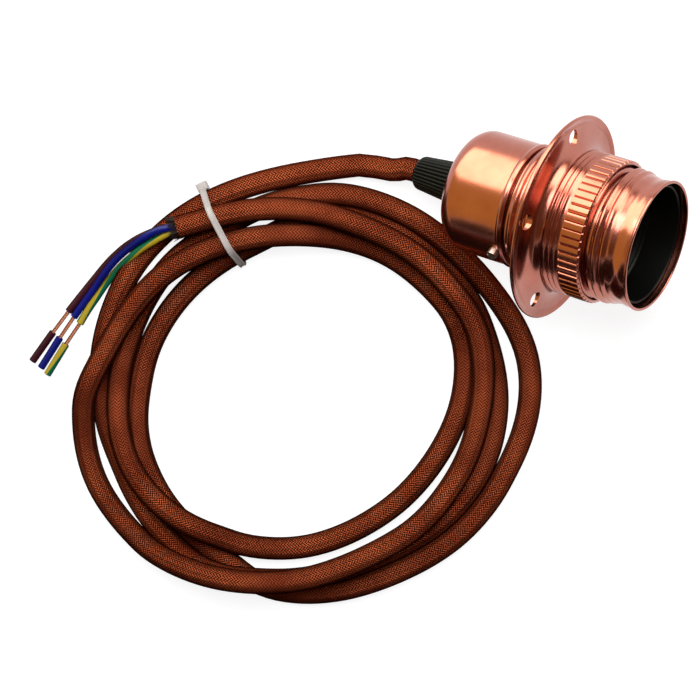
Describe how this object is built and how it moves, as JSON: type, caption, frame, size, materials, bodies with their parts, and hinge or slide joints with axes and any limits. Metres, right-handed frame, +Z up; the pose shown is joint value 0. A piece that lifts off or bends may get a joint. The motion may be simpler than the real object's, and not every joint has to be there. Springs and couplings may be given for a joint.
{
  "type": "pendant cord set",
  "caption": "Screw lamp holder with a flanged and knurled shade ring, on a loose coil of round braided three core flex with stripped ends.",
  "frame": {"origin": "centre of the bottom of the lamp holder's box, on the surface that it lies on", "axes": "+X the way the holder's mouth points in plan, the holder's length; +Z up"},
  "size_m": [0.1754, 0.1675, 0.0573],
  "materials": {
    "copper": "satin copper finish",
    "brass": "plain",
    "steel": "zinc plated",
    "black_plastic": "moulded, matt",
    "braid": "round textile braid",
    "core_brown": "smooth insulation",
    "core_blue": "smooth insulation",
    "core_earth": "smooth striped insulation",
    "bare_copper": "stranded wire",
    "nylon": "translucent nylon"
  },
  "bodies": {
    "root": {"shade_ring": "copper", "shell": "copper", "cap": "copper", "cap_lock_screw": "steel", "grip_nipple": "steel", "grip_lock_nut": "steel", "cord_grip": "black_plastic", "insert_body": "black_plastic", "lamp_screw_shell": "brass", "centre_contact": "brass", "contact_screw": "steel", "terminal_live": "brass", "terminal_screw_live": "steel", "terminal_neutral": "brass", "terminal_screw_neutral": "steel", "earth_tag": "brass", "earth_screw": "steel", "lead_live": "core_brown", "lead_neutral": "core_blue", "lead_earth": "core_earth", "cord_lead": "braid", "cord_coil": "braid", "cable_tie": "nylon", "core_brown": "core_brown", "bare_end_brown": "bare_copper", "slug_brown": "core_brown", "core_blue": "core_blue", "bare_end_blue": "bare_copper", "slug_blue": "core_blue", "core_earth": "core_earth", "bare_end_earth": "bare_copper", "slug_earth": "core_earth"}
  },
  "joints": []
}
